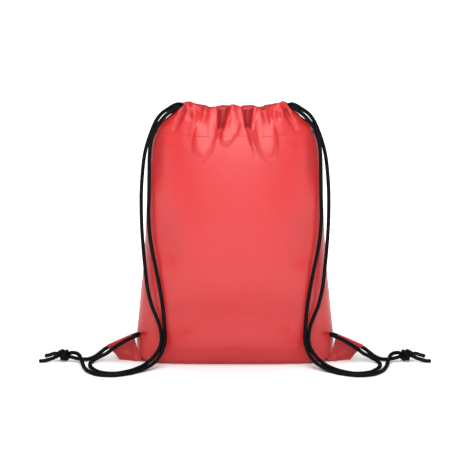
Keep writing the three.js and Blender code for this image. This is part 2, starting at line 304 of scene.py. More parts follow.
def tightened(strands):
    """Pushes the strands of a knot apart until they lie beside each other inside its ball."""
    count = [len(strand) for strand in strands]
    owner = np.repeat(np.arange(len(strands)), count)
    place = np.concatenate([np.arange(n) for n in count])
    points = np.vstack(strands)
    held = (place < HELD_POINTS) | (place >= KNOT_POINTS - HELD_POINTS)
    fixed = points[held].copy()
    near_by_rope = (owner[:, None] == owner) & (np.abs(place[:, None] - place) < SAME_ROPE)
    room = KNOT_HALF - 0.92 * CORD_RADIUS
    for _ in range(TIGHTENING_STEPS):
        gap = points[:, None] - points
        distance = np.linalg.norm(gap, axis=2) + 1e-9
        push = np.clip(2.05 * CORD_RADIUS - distance, 0, None)
        push[near_by_rope] = 0
        points = points + 0.18 * (gap / distance[..., None] * push[..., None]).sum(axis=1)
        for start in np.cumsum([0] + count[:-1]):
            rope = points[start:start + KNOT_POINTS]
            rope[1:-1] += 0.2 * ((rope[:-2] + rope[2:]) / 2 - rope[1:-1])
        reach = np.linalg.norm((points - KNOT_CENTRE) / room, axis=1)
        outside = (reach > 1) & ~held
        points[outside] = KNOT_CENTRE + (points - KNOT_CENTRE)[outside] / reach[outside][:, None]
        points[held] = fixed
    return np.split(points, np.cumsum(count)[:-1])


def knot_strands():
    ends = [(FRONT_FLOOR_RUN[-1], FRONT_TAIL[0], LOOP_SPREAD["front"]),
            (BACK_FLOOR_RUN[-1], BACK_TAIL[0], LOOP_SPREAD["back"])]
    strands = []
    for entry, leave, spread in ends:
        local = [(np.array(end) - KNOT_CENTRE) / KNOT_HALF for end in (entry, leave)]
        strands.append(KNOT_CENTRE + loose_knot(local[0], local[1], spread) * KNOT_HALF)
    return tightened(strands)


front_knot, back_knot = knot_strands()
print("cord in one knot", round(length_of(front_knot) + length_of(back_knot), 3), "m")

# %% [markdown]
# ## Braid
# The cord is a tube braided from twelve bundles of yarn: six wind one way and six the other, each
# passing over one and under the next. A bump map could fake that, but the outline of a cord this close
# shows its ribs, so the relief is modelled: at every point the higher of the two bundles wins.

# %% Braided tube
BUNDLES = 6  # in each direction
LAY_LENGTH = 0.0029  # along the cord, from one bundle to the next
RING_STEP = 0.0005
RING_SIDES = 36
CROWN = 0.00042  # height of one bundle's round back
WEAVING = 0.00024  # how far a bundle rises where it passes over
ROUND_RINGS = 4  # the last rings of a stretch, drawn in to a rounded end
CAP_RELIEF = 0.2  # how high the end's middle counts in the finish, from hollow 0 to crown 1


def braid_height(turn, along):
    """Relief of the braid at a turn round the cord and a length along it."""
    one = BUNDLES * turn + along / LAY_LENGTH
    other = BUNDLES * turn - along / LAY_LENGTH
    one_index, other_index = np.round(one), np.round(other)
    one_back = CROWN * np.sqrt(1 - 0.92 * (2 * (one - one_index)) ** 2)
    other_back = CROWN * np.sqrt(1 - 0.92 * (2 * (other - other_index)) ** 2)
    over = WEAVING * np.cos(np.pi * (other + one_index))
    under = -WEAVING * np.cos(np.pi * (one + other_index))
    return np.maximum(one_back + over, other_back + under)


def tube_uv(along):
    """The UV map of the tube's quads: the turn round the cord, and the length along it."""
    side = np.arange(RING_SIDES)
    turns = np.stack([side, side + 1, side + 1, side], axis=1) / RING_SIDES
    lengths = np.stack([along[:-1], along[:-1], along[1:], along[1:]], axis=1)[:, None]
    return np.stack(np.broadcast_arrays(turns[None], lengths), axis=3).reshape(-1, 2)


def tube_caps(count, along):
    """The triangles that close both ends, fanned round the two centre points, and their UV map."""
    faces, uv = [], []
    for centre, base, flipped, place in ((count, 0, True, along[0]),
                                         (count + 1, count - RING_SIDES, False, along[-1])):
        for k in range(RING_SIDES):
            edge = (base + k, base + (k + 1) % RING_SIDES)
            faces.append([centre, edge[1], edge[0]] if flipped else [centre, edge[0], edge[1]])
            uv += [(k / RING_SIDES, place)] * 3
    return faces, np.array(uv)


def braided_tube(name, points, first, second, start_along):
    """A stretch of cord as a closed mesh with rounded ends."""
    rings = len(points)
    step = length_of(points) / (rings - 1)
    along = start_along + np.arange(rings) * step
    turn = np.arange(RING_SIDES) / RING_SIDES
    relief = braid_height(turn[None, :], along[:, None])
    radius = CORD_RADIUS + relief - 0.8 * CROWN - 0.4 * WEAVING
    squeeze = np.sqrt(1 - (1 - (np.arange(ROUND_RINGS) + 0.6) / (ROUND_RINGS + 0.6)) ** 2)
    for ring_order in (1, -1):
        radius[::ring_order][:ROUND_RINGS] *= squeeze[:, None]
    angle = 2 * np.pi * turn
    offsets = np.cos(angle)[None, :, None] * first[:, None] + np.sin(angle)[None, :, None] * second[:, None]
    surface = points[:, None] + radius[..., None] * offsets
    vertices = np.vstack([surface.reshape(-1, 3), points[:1], points[-1:]])
    cap_faces, cap_uv = tube_caps(rings * RING_SIDES, along)
    faces = grid_faces(rings, RING_SIDES, wraps=True).tolist() + cap_faces
    piece = new_object(name, vertices, faces, np.vstack([tube_uv(along), cap_uv]))
    height = np.clip((relief - relief.min()) / (relief.max() - relief.min()), 0, 1)
    point_values(piece, "relief", np.append(height, [CAP_RELIEF] * 2))
    smooth(piece)
    return piece


# %% [markdown]
# ## The two cords
# Each cord is laid out whole, so that the braid runs on without a break, and then cut where the moving
# strands begin and end. A strand that swings has a rounded end hidden inside its neighbour, so no gap
# opens when it turns.

# %% Lay out and cut the cords
OVERLAP = 4  # rings by which neighbouring stretches reach into each other
SHORTEST = 20  # rings; no stretch is shorter than this
CUT_SLACK = 0.0006  # the first ring this near to the closest one is where a stretch is cut
ROUTE_STEP = 4  # rings between the points that state a stretch's route


def whole_cord(side):
    """The whole route of a cord, as named stretches of evenly spaced points."""
    stretches = [
        ("front_tail", for_side(FRONT_TAIL[::-1], side)),
        ("front_knot", for_side(front_knot[::-1], side)[1:-1]),
        ("front_floor_run", for_side(FRONT_FLOOR_RUN[::-1], side)),
        ("front_strand", for_side(FRONT_STRAND[::-1], side)),
        ("casing_run", casing_run(side)),
        ("back_shoulder_run", for_side(BACK_SHOULDER, side)),
        ("back_strand", for_side(BACK_STRAND, side)),
        ("back_floor_run", for_side(BACK_FLOOR_RUN, side)),
        ("back_knot", for_side(back_knot, side)[1:-1]),
        ("back_tail", for_side(BACK_TAIL, side)),
    ]
    line = curve_through(np.vstack([points for _, points in stretches]), RING_STEP)
    cuts = [0]
    for (_, points), (_, following) in zip(stretches, stretches[1:]):
        middle = (points[-1] + following[0]) / 2
        reach = np.linalg.norm(line[cuts[-1]:] - middle, axis=1)
        reach[:SHORTEST] = 1
        closest = np.flatnonzero(reach < reach.min() + CUT_SLACK)[0]
        cuts.append(cuts[-1] + int(closest))
    cuts.append(len(line) - 1)
    return line, {name: (a, b) for (name, _), a, b in zip(stretches, cuts, cuts[1:])}


cords, routes = {}, {}
for name, side in SIDES:
    line, spans = whole_cord(side)
    first, second = frames_along(line)
    for stretch, (start, end) in spans.items():
        low = max(0, start - OVERLAP)
        part = slice(low, min(len(line), end + OVERLAP + 1))
        cords[name, stretch] = braided_tube(f"{name}_{stretch}_braid", line[part], first[part], second[part],
                                            low * RING_STEP)
        routes[name, stretch] = line[start:end + 1:ROUTE_STEP].tolist()
    lengths = {stretch: round((end - start) * RING_STEP, 3) for stretch, (start, end) in spans.items()}
    print(name, "cord:", round(length_of(line), 3), "m,", lengths)

# %% [markdown]
# ## Bag shape
# The filled bag has a flat oval section that is squarer at the mouth and at the floor. These are the
# same driving sections as in the engineering model, and everything between them is interpolated softly.

# %% Sections of the filled bag
# Heights, half widths and half depths, here in millimetres, and how square each section's corners are.
SECTION_HEIGHT = np.array((0, 4, 14, 33, 55, 100, 140, 200, 255,
                           300, 330, 349, 364, 376, 388, 396, 401)) / 1000
SECTION_WIDTH = np.array((141, 145, 148, 149.5, 148, 144, 139.5, 135.5, 133,
                          130, 126, 120, 112, 99, 87, 81, 74)) / 1000
SECTION_DEPTH = np.array((38, 42, 46, 50, 54, 58, 60, 60, 57,
                          52, 47, 43, 40, 37, 33.5, 30, 25)) / 1000
SECTION_SQUARE = np.array((3.4, 3.4, 3, 2.5, 2.3, 2.2, 2.2, 2.2, 2.3, 2.5, 2.8, 3.2, 4, 6, 9, 9, 9))
CASING_LINE = 0.346  # height of the hem's stitch line
MOUTH_TOP = 0.396
print("the filled bag is", 2 * SECTION_WIDTH.max(), "m wide and", 2 * SECTION_DEPTH.max(), "m deep")


def soft_value(height, values):
    """A smooth curve through the section values, level with the end values outside them."""
    slopes = np.gradient(values, SECTION_HEIGHT)
    height = np.clip(height, SECTION_HEIGHT[0], SECTION_HEIGHT[-1])
    upper = np.clip(np.searchsorted(SECTION_HEIGHT, height), 1, len(values) - 1)
    gap = SECTION_HEIGHT[upper] - SECTION_HEIGHT[upper - 1]
    t = (height - SECTION_HEIGHT[upper - 1]) / gap
    return ((2 * t**3 - 3 * t**2 + 1) * values[upper - 1] + (t**3 - 2 * t**2 + t) * gap * slopes[upper - 1]
            + (3 * t**2 - 2 * t**3) * values[upper] + (t**3 - t**2) * gap * slopes[upper])


def half_section(height, columns, end_gap=0.0, depth_factor=1.0, shrink=0.0):
    """Points from the left edge to the right edge of the front half of a section, evenly along it.
    Returns x, y and the outward direction of each point."""
    width = soft_value(height, SECTION_WIDTH) - shrink
    depth = soft_value(height, SECTION_DEPTH) * depth_factor - shrink
    power = 2 / soft_value(height, SECTION_SQUARE)
    angle = np.linspace(0, math.pi, 1201)
    x = -width * np.sign(np.cos(angle)) * np.abs(np.cos(angle)) ** power
    y = -depth * np.abs(np.sin(angle)) ** power
    kept = y <= -min(end_gap, 0.9 * depth)
    x, y = x[kept], y[kept]
    lengths = np.concatenate([[0], np.cumsum(np.hypot(np.diff(x), np.diff(y)))])
    places = np.linspace(0, lengths[-1], columns)
    x, y = np.interp(places, lengths, x), np.interp(places, lengths, y)
    tangent = np.stack([np.gradient(x), np.gradient(y)])
    tangent /= np.linalg.norm(tangent, axis=0) + 1e-12
    return x, y, np.stack([tangent[1], -tangent[0]])


# %% [markdown]
# ## Folds
# A drawn mouth pushes its spare cloth into folds: deep tucks between the cords' pulls, smooth rounded
# bellies below them, and small puckers that fade out down the panel. A simulation of such a gather needs
# very fine cloth, so the large folds are placed one by one, each as one small formula over the panel. A belly
# is nearly flat in its middle, because a belly with a round top turns its lower half from the light and
# looks like a dark ball.

# %% Fold shapes, as heights over the panel at x and z
def belly(x, z, centre, half, tilt, height):
    """A belly of cloth, nearly flat in its middle, that swells downwards and ends in a rounded rim."""
    dx, dz = x - centre[0], z - centre[1]
    across = (dx - tilt * dz) / half[0]
    along = dz / half[1]
    reach = np.clip(1 - (across**2 + along**2) ** 3, 0, 1)
    return height * reach * (1 - np.clip(along, -1, 1))


def tuck(x, z, place, tip, width, depth, lean=0.0):
    """A V-shaped tuck that opens and deepens upwards from its blunt tip."""
    rise = np.clip((z - tip) / (MOUTH_TOP - tip), 0, 1.3)
    half = width * (0.42 + 0.58 * rise ** 0.8)
    across = np.abs(x - place - lean * (z - tip)) / half
    lips = 0.2 * depth * rise * np.exp(-((across - 1.3) / 0.4) ** 2)
    return lips - depth * ramp(rise, 0, 0.15) * np.clip(1 - across**2, 0, 1) ** 0.6


def crease(x, z, start, end, width, depth):
    """A soft groove along a line that fades at both ends; a negative depth makes a ridge."""
    start, end = np.array(start), np.array(end)
    line = end - start
    along = ((x - start[0]) * line[0] + (z - start[1]) * line[1]) / (line @ line)
    nearest = np.clip(along, 0, 1)
    away = np.hypot(x - start[0] - nearest * line[0], z - start[1] - nearest * line[1])
    fade = np.sin(np.pi * np.clip(nearest * 0.9 + 0.05, 0, 1)) ** 0.6
    return -depth * fade * np.exp(-(away / width) ** 2)


def waves(x, z, seed, size, count=14):
    """Irregular small waves of about one size, the same on every run."""
    random = np.random.default_rng(seed)
    total = np.zeros_like(x)
    for _ in range(count):
        heading = random.uniform(-0.5, 0.5)
        length = size * random.uniform(0.7, 1.6)
        phase = random.uniform(0, 2 * math.pi)
        total += np.cos(2 * math.pi * (x * math.cos(heading) + z * math.sin(heading)) / length + phase)
    return total / math.sqrt(count / 2)


def placed(shape, x, z, folds):
    return sum(shape(x, z, *fold) for fold in folds)


# %% [markdown]
# ## Folds of the front panel
# The list of folds is read as on the bag: bellies hang between the cords' pulls, a tuck stands above each
# gap between them, and creases run out from the tucks. The creases at the cords' exits and down the sides
# are the same left and right, so they are listed once and mirrored.

# %% Front folds
# Bellies: centre, half width and height, lean, and how far they stand out.
FRONT_BELLIES = (((-0.0452, 0.3465), (0.0178, 0.0375), 0.17, 0.0029),
                 ((0.0468, 0.346), (0.0178, 0.0375), -0.13, 0.0029),
                 ((-0.0065, 0.3565), (0.0135, 0.0225), 0.4, 0.0022))
# Tucks: place across, height of the tip, half width at the mouth, depth, and lean.
FRONT_TUCKS = ((-0.0215, 0.3565, 0.0092, 0.0096, 0.14), (0.0193, 0.3575, 0.0086, 0.0096, 0.0))
# Creases: start, end, width, and depth, which is negative for a ridge.
TUCK_CREASES = (((0.019, 0.364), (0.0265, 0.338), 0.0032, 0.0036),
                ((0.026, 0.344), (0.033, 0.322), 0.0045, 0.0014),
                ((-0.021, 0.364), (-0.0265, 0.345), 0.0025, 0.0022))
MIRRORED_CREASES = (((0.0745, 0.391), (0.083, 0.372), 0.0034, 0.0048),
                    ((0.082, 0.375), (0.092, 0.356), 0.0042, 0.0026),
                    ((0.0685, 0.39), (0.066, 0.377), 0.0028, 0.0028),
                    ((0.0585, 0.389), (0.0605, 0.372), 0.0036, -0.0016),
                    ((0.0435, 0.3855), (0.05, 0.366), 0.0042, 0.0018),
                    ((0.1175, 0.36), (0.1185, 0.275), 0.0105, 0.0034),
                    ((0.109, 0.245), (0.083, 0.095), 0.022, 0.0026),
                    ((0.095, 0.09), (0.076, 0.045), 0.013, 0.002))
HOLLOW_DEPTH, HOLLOW_HEIGHT, HOLLOW_SPREAD = 0.0036, 0.074, 0.034  # a shallow dip above the bottom
BULGE_DEPTH, BULGE_HEIGHT, BULGE_SPREAD = 0.006, 0.029, 0.02  # and the filled edge below it
print("front:", len(FRONT_BELLIES), "bellies,", len(FRONT_TUCKS), "tucks,",
      len(TUCK_CREASES) + 2 * len(MIRRORED_CREASES), "creases")


def front_folds(x, z):
    """How far the front panel stands out from the plain bag."""
    side = np.abs(x)
    out = placed(belly, x, z, FRONT_BELLIES) + placed(tuck, x, z, FRONT_TUCKS)
    out += placed(crease, x, z, TUCK_CREASES)
    for mirror in (-1, 1):
        out += placed(crease, mirror * x, z, MIRRORED_CREASES)
    hollow = np.exp(-((z - HOLLOW_HEIGHT) / HOLLOW_SPREAD) ** 2) * ramp(side, 0.125, 0.06)
    bulge = np.exp(-((z - BULGE_HEIGHT) / BULGE_SPREAD) ** 2) * ramp(side, 0.125, 0.07)
    out += BULGE_DEPTH * bulge - HOLLOW_DEPTH * hollow
    out += 0.0015 * ramp(z, 0.372, 0.388) * ramp(side, 0.052, 0.062) * waves(x * 0.8, z, 5, 0.014)
    out += 0.0004 * ramp(z, 0.33, 0.38) * waves(x, z * 0.25, 11, 0.019)
    return out


# %% Back folds
BACK_BELLIES = (((-0.063, 0.34), (0.018, 0.04), 0.16, 0.0031),
                ((0.058, 0.336), (0.016, 0.036), -0.12, 0.003),
                ((0.02, 0.345), (0.015, 0.034), -0.05, 0.0028))
BACK_TUCKS = ((-0.036, 0.356, 0.0085, 0.0096, 0.06), (0.003, 0.36, 0.008, 0.0096, 0.02),
              (0.038, 0.357, 0.0082, 0.0096, -0.04))
BACK_CREASES = (((-0.074, 0.386), (-0.094, 0.36), 0.004, 0.0034),
                ((0.07, 0.386), (0.092, 0.362), 0.004, 0.0034),
                ((-0.112, 0.358), (-0.1, 0.29), 0.008, 0.0036),
                ((0.112, 0.358), (0.104, 0.296), 0.008, 0.0036),
                ((-0.06, 0.3), (0.03, 0.05), 0.03, 0.0022),
                ((0.1, 0.2), (0.07, 0.06), 0.02, 0.003))
print("back:", len(BACK_BELLIES), "bellies,", len(BACK_TUCKS), "tucks,", len(BACK_CREASES), "creases")


def back_folds(x, z):
    """The back panel's own folds, looser than the front's."""
    side = np.abs(x)
    out = placed(belly, x, z, BACK_BELLIES) + placed(tuck, x, z, BACK_TUCKS)
    out += placed(crease, x, z, BACK_CREASES)
    gathered = ramp(z, 0.366, 0.392) * ramp(side, 0.01, 0.03)
    out += 0.0011 * gathered * waves(x, z * 0.4, 23, 0.011)
    out += 0.0014 * ramp(z, 0.374, 0.39) * ramp(side, 0.05, 0.06) * waves(x * 0.8, z, 25, 0.013)
    out += 0.0005 * ramp(z, 0.31, 0.37) * waves(x, z * 0.25, 31, 0.017)
    return out


# %% [markdown]
# ## Mouth outline
# The top edge of each hem is a fold line that rises where a pleat stands up and dips into each tuck.
# The list gives its height across the bag.

# %% Top edges
FRONT_TOP_EDGE = np.array([
    (-0.086, 0.3905), (-0.0815, 0.3925), (-0.0765, 0.3955), (-0.0705, 0.3975), (-0.064, 0.3962),
    (-0.057, 0.392), (-0.051, 0.3885), (-0.0465, 0.3848), (-0.0425, 0.3842), (-0.0375, 0.387),
    (-0.0325, 0.3895), (-0.0285, 0.3895), (-0.025, 0.3865), (-0.0205, 0.3838), (-0.015, 0.3838),
    (-0.0105, 0.3885), (-0.0065, 0.3925), (-0.002, 0.3928), (0.0035, 0.3912), (0.009, 0.3885),
    (0.013, 0.3845), (0.019, 0.3836), (0.0245, 0.3858), (0.028, 0.3895), (0.032, 0.3895), (0.037, 0.3868),
    (0.042, 0.3845), (0.047, 0.3862), (0.052, 0.3895), (0.06, 0.3935), (0.07, 0.3975), (0.0765, 0.396),
    (0.0815, 0.3925), (0.086, 0.3905)])
BACK_TOP_EDGE = np.array([
    (-0.086, 0.3885), (-0.08, 0.3892), (-0.069, 0.3892), (-0.06, 0.3875), (-0.053, 0.3862), (-0.046, 0.3848),
    (-0.036, 0.3832), (-0.026, 0.3835), (-0.018, 0.3848), (-0.01, 0.3845), (-0.002, 0.383), (0.006, 0.3832),
    (0.016, 0.3845), (0.024, 0.3848), (0.034, 0.3835), (0.044, 0.3845), (0.052, 0.386), (0.061, 0.3878),
    (0.07, 0.3892), (0.08, 0.3892), (0.086, 0.3885)])
print("the front hem's edge stands", FRONT_TOP_EDGE[:, 1].min(), "to", FRONT_TOP_EDGE[:, 1].max(), "m high")

# %% [markdown]
# ## Bottom edge
# The filled bag stands on the rounded edges of its bottom, and the cloth between them lifts a little in
# the middle, where nothing presses it down.

# %% Lift of the bottom edge
MIDDLE_LIFT = 0.001
CORNER_LIFT = 0.003


def bottom_lift(x):
    side = np.abs(x)
    middle = MIDDLE_LIFT * np.cos(np.clip(side / 0.102, 0, 1) * math.pi / 2) ** 2
    return middle + CORNER_LIFT * ramp(side, 0.112, 0.142)


# %% [markdown]
# ## The two panels
# Each panel is one cut of cloth, from the bottom seam up the bag, over the fold at the mouth and down
# inside to the stitch line, so it is built as one grid. The rows run across the bag and are closest
# together at the mouth, where the folds are smallest.

# %% Panel grid
COLUMNS = 221
SEAM_TUCK = 0.0013  # how far the side seam is drawn in
SEAM_SHARE = 0.022  # the part of the panel's half width that the seam draws in
SEAM_PUCKER, PUCKER_PITCH = 0.25, 0.0016  # small puckers along the seam, as a share of its tuck
STITCH_DIP, STITCH_DIP_HEIGHT = 0.0005, 0.0015  # the stitch line pulls the cloth in
NARROWEST = 0.004  # the two panels never meet quite at the bottom seam
CLOTH_GAP = 0.0002  # half the space between the two panels at a seam
HEM_INNER_Y = 0.0108  # the inner layer of a hem, from the middle plane
INNER_DROP = 0.003  # how much lower the inner layer starts than the fold's outer side
HEM_END = 0.003  # the inner layer ends this far above the stitch line
CLOTH_THICKNESS = 0.0006
UNDERSIDE = np.linspace(0, 1, 13)[:-1]
BODY_HEIGHTS = np.concatenate([np.linspace(0, 0.016, 8)[:-1], np.linspace(0.016, 0.3, 88)[:-1],
                               np.linspace(0.3, CASING_LINE, 34)])
HEM_RISE = np.linspace(0, 1, 40)[1:]
ROLL = np.linspace(0, 1, 9)[1:-1]
HEM_FALL = np.linspace(0, 1, 18)


def side_opening(height):
    """How far from the middle plane the hem's open end stands, low at the seam and wide at the cord."""
    return np.interp(height, (0.346, 0.35, 0.364, 0.376, 0.3815, 0.386, 0.392, 0.398),
                     (0.0002, 0.004, 0.0105, 0.0155, 0.021, 0.0262, 0.0268, 0.024))


def underside_rows():
    """From the bottom seam out to the bag's lower edge."""
    rows = []
    for share in UNDERSIDE:
        x, y, _ = half_section(0, COLUMNS, depth_factor=max(share, NARROWEST))
        drawn = 1 - 0.01 * (1 - share)
        rows.append(np.stack([x * drawn, y, CLOTH_THICKNESS + bottom_lift(x) * share ** 0.5
                              + 0.0006 * (1 - share)], axis=1))
    return rows


def body_rows(folds):
    """Up the bag to the hem's stitch line."""
    rows = []
    for height in BODY_HEIGHTS:
        x, y, out = half_section(height, COLUMNS, end_gap=side_opening(height))
        reach = np.clip((np.arange(COLUMNS) - COLUMNS / 2 + 0.5) / (COLUMNS / 2 - 0.5), -1, 1)
        edge = np.exp(-((1 - np.abs(reach)) / SEAM_SHARE) ** 2)
        seam = -SEAM_TUCK * edge * (1 + SEAM_PUCKER * np.sin(height / PUCKER_PITCH))
        z = height + bottom_lift(x) * (1 - ramp(height, 0.0, 0.05))
        stand = folds(x, z) * (1 - edge) * ramp(height, 0.0, 0.03) + seam * ramp(height, -0.01, 0.01)
        rows.append(np.stack([x + out[0] * stand, y + out[1] * stand,
                              np.maximum(z, CLOTH_THICKNESS)], axis=1))
    return rows


def hem_rows(folds, top_edge):
    """The hem's outer layer, up to the fold at the mouth."""
    rows = []
    for rise in HEM_RISE:
        height = CASING_LINE + rise * (MOUTH_TOP - CASING_LINE)
        x, y, out = half_section(height, COLUMNS, end_gap=side_opening(height))
        z = CASING_LINE + rise * (np.interp(x, *top_edge.T) - CASING_LINE)
        stitched = -STITCH_DIP * math.exp(-((height - CASING_LINE) / STITCH_DIP_HEIGHT) ** 2)
        stand = folds(x, z) + stitched
        rows.append(np.stack([x + out[0] * stand, y + out[1] * stand, z], axis=1))
    return rows


def inner_rows(top):
    """From the hem's last row over the fold and down inside, nearly to the stitch line."""
    rows = []
    inner_y = -(HEM_INNER_Y + 0.004 * ramp(np.abs(top[:, 0]), 0.06, 0.084))
    inner_y = inner_y - 0.0012 * waves(top[:, 0], top[:, 0] * 0, 41, 0.014) * (np.abs(top[:, 0]) < 0.08)
    for share in ROLL:
        sweep = (1 - math.cos(math.pi * share)) / 2
        lift = (0.0022 + 0.04 * (inner_y - top[:, 1])) * math.sin(math.pi * share) - INNER_DROP * sweep
        rows.append(np.stack([top[:, 0] * (1 + 0.012 * math.sin(math.pi * share)),
                              top[:, 1] + (inner_y - top[:, 1]) * sweep, top[:, 2] + lift], axis=1))
    for fall in HEM_FALL:
        z = top[:, 2] - INNER_DROP - fall * (top[:, 2] - INNER_DROP - CASING_LINE - HEM_END)
        width = soft_value(z, SECTION_WIDTH) / soft_value(np.full_like(z, MOUTH_TOP), SECTION_WIDTH)
        x = top[:, 0] * np.minimum(width, 1.45) * 0.985
        rows.append(np.stack([x, inner_y - 0.0005 * np.sin(np.pi * fall), z], axis=1))
    return rows


def panel_rows(folds, top_edge):
    """All rows of one panel, as if it faced -Y."""
    outside = underside_rows() + body_rows(folds) + hem_rows(folds, top_edge)
    return np.array(outside + inner_rows(outside[-1]))


# %% [markdown]
# ## Painted shade
# In a deep tuck the cloth lies in several layers. The shade in tucks, creases and the hem is painted into
# the cloth's colour: how much is kept at each point of a panel, and the cloth's finish reads it.

# %% Count the painted shade
FULL_SHADE_DEPTH = 0.0085  # a tuck this deep gets the full painted shade
HEM_PAINTED_SHADE = (0.2, 0.8)  # painted shade on the hem's inner layer, from the mouth down to its end
# painted shade over the whole of each tab
TAB_PAINTED_SHADE = 0.4


def painted_shade(rows, folds):
    """How much shade is painted into the cloth: 1 at the bottom of a deep tuck, 0 on the plain panel."""
    x, z = rows[..., 0], rows[..., 2]
    share = np.clip(-folds(x, z) / FULL_SHADE_DEPTH, 0, 1) * ramp(z, 0.12, 0.25)
    hem = len(UNDERSIDE) + len(BODY_HEIGHTS) + len(HEM_RISE)
    share[hem:] = np.maximum(share[hem:], np.linspace(*HEM_PAINTED_SHADE, len(rows) - hem)[:, None])
    return share


def cloth_uv(rows):
    """Where each point lies on the flat cloth, in metres."""
    across = np.linalg.norm(np.diff(rows, axis=1), axis=2)
    along = np.linalg.norm(np.diff(rows, axis=0), axis=2).mean(axis=1)
    u = np.linspace(-0.5, 0.5, rows.shape[1]) * across.sum(axis=1).max()
    v = np.concatenate([[0], np.cumsum(along)])
    return np.stack(np.broadcast_arrays(u[None, :], v[:, None]), axis=2)


def cloth_piece(name, rows, facing):
    """A sheet from its rows; facing is -1 where the rows, left to right and up, face -Y."""
    count, columns = rows.shape[:2]
    faces = grid_faces(count, columns)
    if facing > 0:
        faces = faces[:, ::-1]
    uv = cloth_uv(rows).reshape(-1, 2)
    return new_object(name, rows.reshape(-1, 3), faces, uv[faces].reshape(-1, 2))


front_rows = panel_rows(front_folds, FRONT_TOP_EDGE)
front_rows[..., 1] = np.minimum(front_rows[..., 1], -CLOTH_GAP)
back_rows = panel_rows(back_folds, BACK_TOP_EDGE)
back_rows[..., 1] = np.maximum(-back_rows[..., 1], CLOTH_GAP)
front_panel = cloth_piece("front_panel_cloth", front_rows, -1)
back_panel = cloth_piece("back_panel_cloth", back_rows, 1)
# painted shade in the panels' tucks, creases and hems
point_values(front_panel, "painted_shade", painted_shade(front_rows, front_folds))
point_values(back_panel, "painted_shade", painted_shade(back_rows, back_folds))
print("panel grid", front_rows.shape[:2], "rows and columns")

# %% [markdown]
# ## Settling the panels
# The listed folds carry the look of the bag, but the large plain faces of a filled bag are never even.
# A coarse copy of each panel, a little larger than its space, is pressed outwards as a cloth simulation
# with its edges held, and a small part of the way it settles, less than a millimetre, is added to the lower
# body. More of it gives sharp crumples and bands that a firmly filled bag doesn't have. A coarse copy is
# enough, because the settled shape has no small folds, and it takes only seconds.

# %% Cloth simulation on coarse copies
SETTLE_FRAMES = 24
SETTLE_LIMIT = 0.0008
SETTLE_BLUR = 9  # coarse cells; wider swellings are left out, because the bag's sections hold them
COARSE_STEP = 2
BODY_ROWS = slice(len(UNDERSIDE), len(UNDERSIDE) + len(BODY_HEIGHTS))
SETTLING_CLOTH = {"quality": 6, "mass": 0.12, "tension_stiffness": 12, "compression_stiffness": 12,
                  "shear_stiffness": 4, "bending_stiffness": 0.35, "air_damping": 3,
                  "vertex_group_mass": "pinned", "use_pressure": True, "uniform_pressure_force": 0.5,
                  "shrink_min": -0.012}  # a negative shrink makes the copy larger than its space


def every_other(count):
    return np.unique(np.append(np.arange(0, count, COARSE_STEP), count - 1))


def settled_copy(rows, facing):
    """Simulates a coarse panel and returns how far each of its points moved."""
    piece = cloth_piece("settling_copy", rows, facing)
    pinned = piece.vertex_groups.new(name="pinned")
    index = np.arange(rows.shape[0] * rows.shape[1]).reshape(rows.shape[:2])
    edges = (index[:4], index[-3:], index[:, :2], index[:, -2:])
    pinned.add(np.unique(np.concatenate([edge.ravel() for edge in edges])).tolist(), 1.0, "REPLACE")
    cloth = piece.modifiers.new("cloth", "CLOTH")
    for setting, value in SETTLING_CLOTH.items():
        setattr(cloth.settings, setting, value)
    cloth.settings.effector_weights.gravity = 0
    cloth.point_cache.frame_end = SETTLE_FRAMES
    for step in range(1, SETTLE_FRAMES + 1):
        bpy.context.scene.frame_set(step)
    settled = piece.evaluated_get(bpy.context.evaluated_depsgraph_get()).data
    points = np.empty(len(settled.vertices) * 3, np.float32)
    settled.vertices.foreach_get("co", points)
    bpy.data.objects.remove(piece)
    bpy.context.scene.frame_set(1)
    return points.reshape(rows.shape) - rows


def blurred(grid, reach):
    """The grid with each value replaced by a soft average of its neighbours."""
    kernel = np.exp(-0.5 * (np.arange(-3 * reach, 3 * reach + 1) / reach) ** 2)
    kernel /= kernel.sum()
    for axis in (0, 1):
        padding = [(3 * reach, 3 * reach) if axis == other else (0, 0) for other in (0, 1, 2)]
        padded = np.pad(grid, padding, mode="edge")
        grid = np.apply_along_axis(np.convolve, axis, padded, kernel, "valid")
    return grid


def settle(piece, rows, facing):
    """Adds the settled copy's wrinkles to the fine panel, held back at the mouth and the floor."""
    body = rows[BODY_ROWS]
    some_rows, some_columns = every_other(body.shape[0]), every_other(body.shape[1])
    moved = settled_copy(body[np.ix_(some_rows, some_columns)], facing)
    print(piece.name, "copy moved up to", round(float(np.linalg.norm(moved, axis=2).max()) * 1000, 1), "mm")
    moved = blurred(moved, 2) - blurred(moved, SETTLE_BLUR)
    length = np.linalg.norm(moved, axis=2, keepdims=True)
    moved *= np.minimum(1, SETTLE_LIMIT / np.maximum(length, 1e-9))
    fine = np.empty_like(body)
    all_rows, all_columns = (np.arange(size) for size in body.shape[:2])
    for axis in range(3):
        across = [np.interp(all_columns, some_columns, row) for row in moved[..., axis]]
        fine[..., axis] = np.array([np.interp(all_rows, some_rows, column) for column in zip(*across)]).T
    height = body[..., 2]
    hold = ramp(height, 0.3, 0.2) * ramp(height, 0.004, 0.05)
    body += fine * hold[..., None]
    piece.data.vertices.foreach_set("co", rows.astype(np.float32).ravel())
    piece.data.update()
    print(piece.name, "settled by up to", round(float(np.linalg.norm(fine, axis=2).max()) * 1000, 1), "mm")


settle(front_panel, front_rows, -1)
settle(back_panel, back_rows, 1)

# %% [markdown]
# ## Thickness
# Thin cloth still shows its thickness at an open edge. A Solidify modifier gives it, inwards, so that the
# outside stays where it was placed.

# %% Solid cloth
def thicken(piece, thickness):
    solid = piece.modifiers.new("thickness", "SOLIDIFY")
    solid.thickness = thickness
    solid.offset = -1
    apply_modifiers(piece)
    smooth(piece)
    print(piece.name, triangles(piece), "triangles")


for panel in (front_panel, back_panel):
    thicken(panel, CLOTH_THICKNESS)

